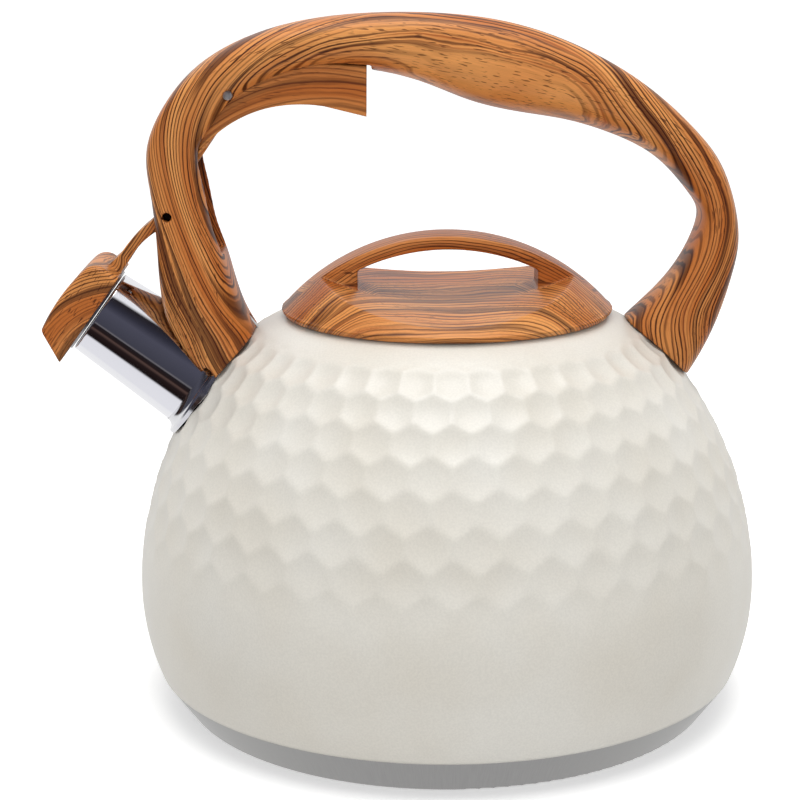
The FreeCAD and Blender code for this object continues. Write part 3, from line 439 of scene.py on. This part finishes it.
def wood(name, seed, spacing, line_weight):
    """Moulded wood look: growth lines, streaks, pores and fibres on the grain coordinates."""
    paint = Paint(name)
    ring, layer = growth_rings(paint, seed)
    calm = paint.add("ShaderNodeAttribute", attribute_name="calm").outputs["Fac"]
    plain = paint.add("ShaderNodeAttribute", attribute_name="fibre").outputs["Vector"]
    lively = paint.sum("MULTIPLY_ADD", calm, -0.9, 1.0)
    lines = paint.sum("MULTIPLY", growth_lines(paint, ring, layer, spacing), lively)
    broad = paint.noise(paint.scaled(layer, (1, 0.34, 1)), 1.0, 3.0)
    streaks = paint.sum("MULTIPLY", paint.ramp(broad, [(0.53, 0.0), (0.60, 1.0)]), lively)
    thin = paint.noise(paint.scaled(layer, (1, 1.3, 1)), 1.0, 3.0)
    threads = paint.ramp(thin, [(0.55, 0.0), (0.66, 1.0)])
    pores = pore_marks(paint, plain, calm)
    tone = paint.noise(paint.scaled(layer, (1.2, 0.13, 1.2)), 1.0, 2.0)
    colour = paint.mix(paint.ramp(tone, [(0.36, 0.0), (0.64, 1.0)]), LIGHT_WOOD, DARK_WOOD)
    for marks, weight, tint in (
        (threads, 0.65, RED_WOOD),
        (streaks, 0.8 * line_weight, STREAK),
        (lines, line_weight, STREAK),
        (pores, 0.7, PORE),
    ):
        colour = paint.mix(paint.sum("MULTIPLY", marks, weight), colour, tint)
    fibre = paint.noise(paint.scaled(plain, FIBRE), 1.0, 3.0)
    shade = paint.ramp(fibre, [(0.3, 0.82), (0.7, 1.0)])
    paint.set(Base_Color=paint.mix(1.0, colour, shade, "MULTIPLY"),
              Roughness=paint.ramp(fibre, [(0.3, 0.34), (0.7, 0.44)]),
              Specular_IOR_Level=0.25, Coat_Weight=0.04, Coat_Roughness=0.2)
    relief = paint.sum("MULTIPLY_ADD", lines, -0.5, paint.sum("MULTIPLY", pores, -0.6))
    paint.bump(relief, 0.25, 0.0002)
    return paint.material


def chrome(name, tint, rough):
    """Polished steel with faint smudges in its gloss."""
    paint = Paint(name)
    smudge = paint.noise(paint.place(), 0.25, 3.0)
    paint.set(Base_Color=tint + (1,), Metallic=1.0,
              Roughness=paint.ramp(smudge, [(0.35, rough), (0.75, rough * 1.7)]))
    return paint.material


def brushed(name, tint, rough, stretch, contrast=0.12):
    """Brushed metal: fine lines along one direction."""
    paint = Paint(name)
    lines = paint.noise(paint.scaled(paint.place(), stretch), 1.0, 4.0, 0.7)
    shade = paint.ramp(lines, [(0.3, 1.0 - contrast), (0.7, 1.0)])
    paint.set(Base_Color=paint.mix(1.0, tint, shade, "MULTIPLY"), Metallic=1.0,
              Roughness=paint.ramp(lines, [(0.3, rough), (0.7, rough * 1.35)]))
    paint.bump(lines, 0.2, 0.00005)
    return paint.material


def brushed_round(name, tint, rough):
    """Brushed metal whose fine lines run up the side of a round part."""
    paint = Paint(name)
    parts = paint.add("ShaderNodeSeparateXYZ")
    paint.put(parts.inputs[0], paint.place())
    turn = paint.sum("ARCTAN2", parts.outputs["Y"], parts.outputs["X"])
    face = paint.add("ShaderNodeCombineXYZ")
    paint.put(face.inputs["X"], paint.sum("MULTIPLY", turn, 260.0))
    paint.put(face.inputs["Y"], paint.sum("MULTIPLY", parts.outputs["Z"], 0.12))
    lines = paint.noise(face.outputs[0], 1.0, 3.0, 0.7)
    shade = paint.ramp(lines, [(0.3, 0.84), (0.7, 1.0)])
    paint.set(Base_Color=paint.mix(1.0, tint, shade, "MULTIPLY"), Metallic=1.0,
              Roughness=paint.ramp(lines, [(0.3, rough), (0.7, rough * 1.3)]))
    paint.bump(lines, 0.3, 0.00005)
    return paint.material


def rubber(name, tint):
    """Silicone with a powdery surface."""
    paint = Paint(name)
    powder = paint.noise(paint.place(), 1.2, 4.0)
    paint.set(Base_Color=paint.mix(powder, tint, tuple(1.25 * c for c in tint)),
              Roughness=paint.ramp(powder, [(0.3, 0.55), (0.7, 0.75)]))
    paint.bump(powder, 0.15, 0.0001)
    return paint.material


def dress(thing, material):
    """Gives a new object its material."""
    thing.data.materials.clear()
    thing.data.materials.append(material)


def dress_node(name, material):
    """A CAD node keeps its mesh and gets a material."""
    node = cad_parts[name]
    for place in node.material_slots:
        place.material = material
    if not node.material_slots:
        node.data.materials.append(material)


# ---------------------------------------------------------------- grain coordinates

# The handle is taken as an arch. Places along it are in millimetres from its top.
ARCH_CENTRE = np.array([0.0, 118.0])
ARCH_RADIUS = 95.0
ARCH_SPAN = 2.2
ARCH_PLACES = 176
ARCH_SMOOTHING = 13

# The growth lines cross the two bends at a slant.
FRONT_BEND_END = -14.0
REAR_BEND_START = 22.0
REAR_BEND_END = 92.0
FRONT_SLANT = -0.28
REAR_SLANT = 0.30
SIDE_SLANT = 0.22

# The long oval figure on the grip: its centre, its stretch, its calm middle and its reach.
FIGURE_ALONG = 16.0
FIGURE_RISE = -5.5
FIGURE_SIDE = -12.0
FIGURE_STRETCH = 4.8
FIGURE_SIDE_STRETCH = 1.5
FIGURE_CALM = 9.5
FIGURE_REACH = 38.0
FIGURE_LEVEL = 4.0

# Centres of the growth arcs: the trigger's in XZ, the cap's upward and outward of the mouth.
TRIGGER_ARC = (-38.0, 138.0)
CAP_ARC = (-12.0, -20.0)
CAP_ARM_START = 14.0

# The lid's dome and the bridge left standing on it.
LID_DOME_CENTRE = 82.0
LID_TURN = 31.0
BRIDGE_HALF = 8.8
BRIDGE_FOOT = 133.0


def arch_coordinates(points):
    """Turn about the arch's centre, and the share of the way from the inner to the outer side."""
    x = points[:, 0] - ARCH_CENTRE[0]
    z = points[:, 2] - ARCH_CENTRE[1]
    turn = np.arctan2(x, z)
    reach = np.hypot(x, z)
    bins = np.linspace(-ARCH_SPAN, ARCH_SPAN, ARCH_PLACES + 1)
    place = np.clip(np.digitize(turn, bins) - 1, 0, ARCH_PLACES - 1)
    low = np.full(ARCH_PLACES, np.nan)
    high = np.full(ARCH_PLACES, np.nan)
    for i in range(ARCH_PLACES):
        inside = reach[place == i]
        if len(inside) > 3:
            low[i] = inside.min()
            high[i] = inside.max()
    centres = (bins[1:] + bins[:-1]) / 2
    known = ~np.isnan(low)
    kernel = np.hanning(ARCH_SMOOTHING) / np.hanning(ARCH_SMOOTHING).sum()

    def smoothed(reaches):
        filled = np.interp(centres, centres[known], reaches[known])
        return np.convolve(np.pad(filled, ARCH_SMOOTHING // 2, mode="edge"), kernel, "valid")

    low, high = smoothed(low), smoothed(high)
    middle = np.interp(turn, centres, (low + high) / 2)
    half = np.interp(turn, centres, (high - low) / 2)
    return turn, (reach - middle) / half, half


def rise_after(along, start, softness=7.0):
    """Distance past a place, fading in smoothly."""
    return softness * np.logaddexp(0, (along - start) / softness)


def handle_grain(thing):
    """Lines that cross the front bend outwards, lie along the grip and cross the rear bend
    inwards, round a long calm figure on the grip's near side."""
    points = points_of(thing)
    turn, depth, half = arch_coordinates(points)
    along = turn * ARCH_RADIUS
    width = points[:, 1]
    rise = half * depth
    front = FRONT_SLANT * (along - rise_after(along, FRONT_BEND_END))
    rear = REAR_SLANT * (rise_after(along, REAR_BEND_START) - rise_after(along, REAR_BEND_END))
    ring = rise + front + rear + SIDE_SLANT * width
    oval = np.sqrt(((along - FIGURE_ALONG) / FIGURE_STRETCH) ** 2 + (rise - FIGURE_RISE) ** 2
                   + ((width - FIGURE_SIDE) / FIGURE_SIDE_STRETCH) ** 2)
    flat = (oval ** 4 / FIGURE_CALM ** 3 + 3 * FIGURE_CALM) / 4
    figure = np.where(oval < FIGURE_CALM, flat, oval) - FIGURE_LEVEL
    share = np.exp(-((along - FIGURE_ALONG) / FIGURE_REACH) ** 4)
    ring = ring * (1 - share) + figure * share
    keep_grain(thing, along, ring, rise, width, share * np.exp(-(oval / FIGURE_CALM) ** 6))


def trigger_grain(thing):
    """Arcs that follow the lever's underside."""
    x, y, z = points_of(thing).T
    ring = np.hypot(x - TRIGGER_ARC[0], z - TRIGGER_ARC[1])
    keep_grain(thing, x, ring + 0.25 * y, z, y)


def cap_grain(thing):
    """Arcs on the cap and lines along its arm."""
    points = points_of(thing)
    arm = points - SPOUT_MOUTH
    up = arm @ SPOUT_UPWARD
    out = arm @ SPOUT_OUTWARD
    ring = np.hypot(up - CAP_ARC[0], out - CAP_ARC[1])
    on_arm = np.clip((up - CAP_ARM_START) / 6.0, 0, 1)
    ring = ring * (1 - on_arm) + (out * 1.2 + 30.0) * on_arm + 0.2 * points[:, 1]
    keep_grain(thing, up, ring, out, points[:, 1])


def lid_grain(thing):
    """Flat layers that run from side to side; the bridge's follow its arch."""
    x, y, z = points_of(thing).T
    ring = 0.21 * y + 0.75 * z + 0.80 * rise_after(np.abs(x), LID_TURN, 4.0)
    dome = np.sqrt(x ** 2 + y ** 2 + (z - LID_DOME_CENTRE) ** 2)
    on_bridge = (np.abs(y) < BRIDGE_HALF) * np.clip((z - BRIDGE_FOOT) / 4.0, 0, 1)
    ring = ring * (1 - on_bridge) + (0.9 * dome + 0.3 * y + 60.0) * on_bridge
    keep_grain(thing, x, ring, y, z)


# ---------------------------------------------------------------- the kettle

pot = make_body()
dress(pot, enamel())
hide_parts("body_shell")
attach(pot, "kettle")

# Moulded pieces: node, voxel size, grain, body, the grain's shift, the growth lines' spacing
# in millimetres and how strongly they show.
for node, voxel, grain, body, seed, spacing, line_weight in (
    ("handle", 0.55, handle_grain, "kettle", 0.0, 1.25, 0.92),
    ("trigger", 0.35, trigger_grain, "trigger", 340.0, 1.7, 0.45),
    ("spout_cap", 0.35, cap_grain, "cap", 700.0, 1.0, 0.80),
    ("lid_cover", 0.45, lid_grain, "lid", 1180.0, 0.95, 0.8),
):
    piece = moulded_copy(node, node + "_moulded", voxel)
    grain(piece)
    dress(piece, wood(node + "_wood", seed, spacing, line_weight))
    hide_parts(node)
    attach(piece, body)

SPOUT_CHROME = chrome("spout_chrome", rgb(236, 236, 240), 0.05)
STEEL = brushed("plain_steel", rgb(190, 190, 192), 0.28, (0.6, 0.6, 12.0))
# The cap's hinge pin is near-black steel: painted shade, standing in for the shadow of the shallow
# hole its end sits in.
PIN_PAINTED_SHADE = brushed("pin_painted_shade", rgb(60, 56, 54), 0.4, (8.0, 0.4, 8.0))
BRIGHT_PIN = brushed("bright_pin", rgb(240, 240, 240), 0.6, (8.0, 0.4, 8.0))
PIN = brushed("pin_steel", rgb(200, 200, 202), 0.18, (8.0, 0.4, 8.0))
dress_node("spout_tube", SPOUT_CHROME)
dress_node("spout_collar", chrome("collar_chrome", rgb(225, 225, 228), 0.12))
dress_node("base_cup", brushed_round("base_brushed", rgb(158, 157, 155), 0.30))
dress_node("heat_spreader", brushed("spreader_aluminium", rgb(205, 206, 208), 0.4, (3.0, 3.0, 3.0)))
dress_node("lid_gasket", rubber("gasket_silicone", rgb(200, 198, 190)))
for name in ("whistle_cup", "whistle_front_plate", "whistle_back_plate", "lid_plate", "lid_washer",
             "front_bracket", "rear_bracket"):
    dress_node(name, STEEL)
dress_node("cap_hinge_pin", PIN_PAINTED_SHADE)
dress_node("trigger_pin", BRIGHT_PIN)
for name in ("drive_pin", "cap_spring", "lid_screw",
             "front_handle_screw", "rear_handle_screw"):
    dress_node(name, PIN)


# ---------------------------------------------------------------- stage

# The stage's floor, in millimetres, and how bright it is to the kettle and in view.
STAGE_RADIUS = 40000.0
STAGE_GAP = 0.05
FLOOR_BOUNCE = (0.77, 0.77, 0.765)
FLOOR_WHITE = (0.97, 0.97, 0.965)
FLOOR_GLOW = 0.42
# Strength of the plain white sky that lights the kettle.
SKY = 0.69


def make_floor():
    """A wide plain disc just under the base; it lights the kettle less than it shines itself."""
    turns = np.linspace(0, 2 * math.pi, 96, endpoint=False)
    points = [(STAGE_RADIUS * math.cos(t), STAGE_RADIUS * math.sin(t), -STAGE_GAP) for t in turns]
    floor = new_object("floor", points, [tuple(range(len(points)))], smooth=False)
    paint = Paint("floor_white")
    in_view = paint.add("ShaderNodeLightPath").outputs["Is Camera Ray"]
    paint.set(Base_Color=paint.mix(in_view, FLOOR_BOUNCE, FLOOR_WHITE),
              Roughness=0.8, Specular_IOR_Level=0.1, Emission_Color=(1, 1, 1, 1),
              Emission_Strength=paint.sum("MULTIPLY", in_view, FLOOR_GLOW))
    dress(floor, paint.material)
    floor.visible_glossy = False


# What mirrors see on the dark side of the studio, by height from straight down to straight up.
DARK_SIDE = [
    (0.0, (0.9, 0.9, 0.92)),
    (0.17, (0.85, 0.85, 0.88)),
    (0.19, (0.01, 0.006, 0.006)),
    (0.27, (0.02, 0.012, 0.012)),
    (0.31, (0.10, 0.06, 0.05)),
    (0.33, (0.02, 0.012, 0.012)),
    (0.39, (0.015, 0.012, 0.015)),
    (0.405, (0.18, 0.17, 0.18)),
    (0.43, (0.055, 0.055, 0.075)),
    (0.70, (0.075, 0.075, 0.105)),
    (0.80, (0.03, 0.03, 0.045)),
    (0.88, (0.015, 0.012, 0.015)),
    (0.90, (0.9, 0.9, 0.92)),
    (0.92, (0.9, 0.9, 0.92)),
    (0.94, (0.02, 0.02, 0.025)),
    (1.0, (0.1, 0.1, 0.12)),
]
STUDIO_WHITE = 0.95
# Where the dark side ends and the white side begins, by direction along Y.
DARK_SIDE_EDGE = 0.20
WHITE_SIDE_EDGE = 0.34


def make_world():
    """White all round; mirrors see a white studio that is dark towards the front."""
    world = bpy.data.worlds.new("studio")
    world.use_nodes = True
    tree = world.node_tree
    nodes, links = tree.nodes, tree.links
    nodes.clear()

    def background(strength, colour=(1, 1, 1, 1)):
        node = nodes.new("ShaderNodeBackground")
        node.inputs["Strength"].default_value = strength
        node.inputs["Color"].default_value = colour
        return node

    def choose(factor, first, second):
        node = nodes.new("ShaderNodeMixShader")
        links.new(factor, node.inputs[0])
        links.new(first.outputs[0], node.inputs[1])
        links.new(second.outputs[0], node.inputs[2])
        return node

    def mapped(value, low, high):
        node = nodes.new("ShaderNodeMapRange")
        links.new(value, node.inputs["Value"])
        node.inputs["From Min"].default_value = low
        node.inputs["From Max"].default_value = high
        return node.outputs[0]

    place = nodes.new("ShaderNodeTexCoord")
    parts = nodes.new("ShaderNodeSeparateXYZ")
    links.new(place.outputs["Generated"], parts.inputs[0])
    ramp = nodes.new("ShaderNodeValToRGB")
    links.new(mapped(parts.outputs["Z"], -1, 1), ramp.inputs[0])
    marks = ramp.color_ramp.elements
    while len(marks) < len(DARK_SIDE):
        marks.new(0.5)
    for mark, (position, colour) in zip(marks, DARK_SIDE):
        mark.position = position
        mark.color = colour + (1,)
    dark = background(1.0)
    links.new(ramp.outputs[0], dark.inputs["Color"])
    bright = background(STUDIO_WHITE)
    studio = choose(mapped(parts.outputs["Y"], DARK_SIDE_EDGE, WHITE_SIDE_EDGE), dark, bright)
    path = nodes.new("ShaderNodeLightPath")
    seen = choose(path.outputs["Is Glossy Ray"], background(SKY), studio)
    output = nodes.new("ShaderNodeOutputWorld")
    links.new(choose(path.outputs["Is Camera Ray"], seen, background(1.0)).outputs[0],
              output.inputs["Surface"])
    bpy.context.scene.world = world


def make_light(name, place, target, size, power, mirrored=True):
    """A round lamp in metres and watts that looks at its target."""
    lamp = bpy.data.lights.new(name, "AREA")
    lamp.shape = "DISK"
    lamp.size = size
    lamp.energy = power
    thing = bpy.data.objects.new(name, lamp)
    thing.location = place
    thing.rotation_euler = (Vector(target) - Vector(place)).to_track_quat("-Z", "Y").to_euler()
    thing.visible_glossy = mirrored
    bpy.context.scene.collection.objects.link(thing)


CAMERA_PLACE = (-0.02134, -0.61103, 0.2452)
CAMERA_DOWN = 13.64
CAMERA_TURN = -2.0
LENS_MM = 87.2
LENS_SHIFT = -0.05875


def make_camera():
    """The camera, a little above the kettle and in front of it."""
    lens = bpy.data.cameras.new("camera")
    lens.lens = LENS_MM
    lens.sensor_width = 36.0
    lens.shift_x = LENS_SHIFT
    lens.clip_end = 200.0
    camera = bpy.data.objects.new("camera", lens)
    camera.location = CAMERA_PLACE
    camera.rotation_euler = (math.radians(90 - CAMERA_DOWN), 0, math.radians(CAMERA_TURN))
    bpy.context.scene.collection.objects.link(camera)
    bpy.context.scene.camera = camera


make_floor()
make_world()
make_light("top", (0.0, -0.12, 0.95), (0, 0, 0.1), 0.7, 4.8)
make_light("front", (0.1, -1.2, 0.6), (0, 0, 0.1), 0.6, 1.3, mirrored=False)
make_camera()
bpy.context.scene.view_settings.view_transform = "Standard"
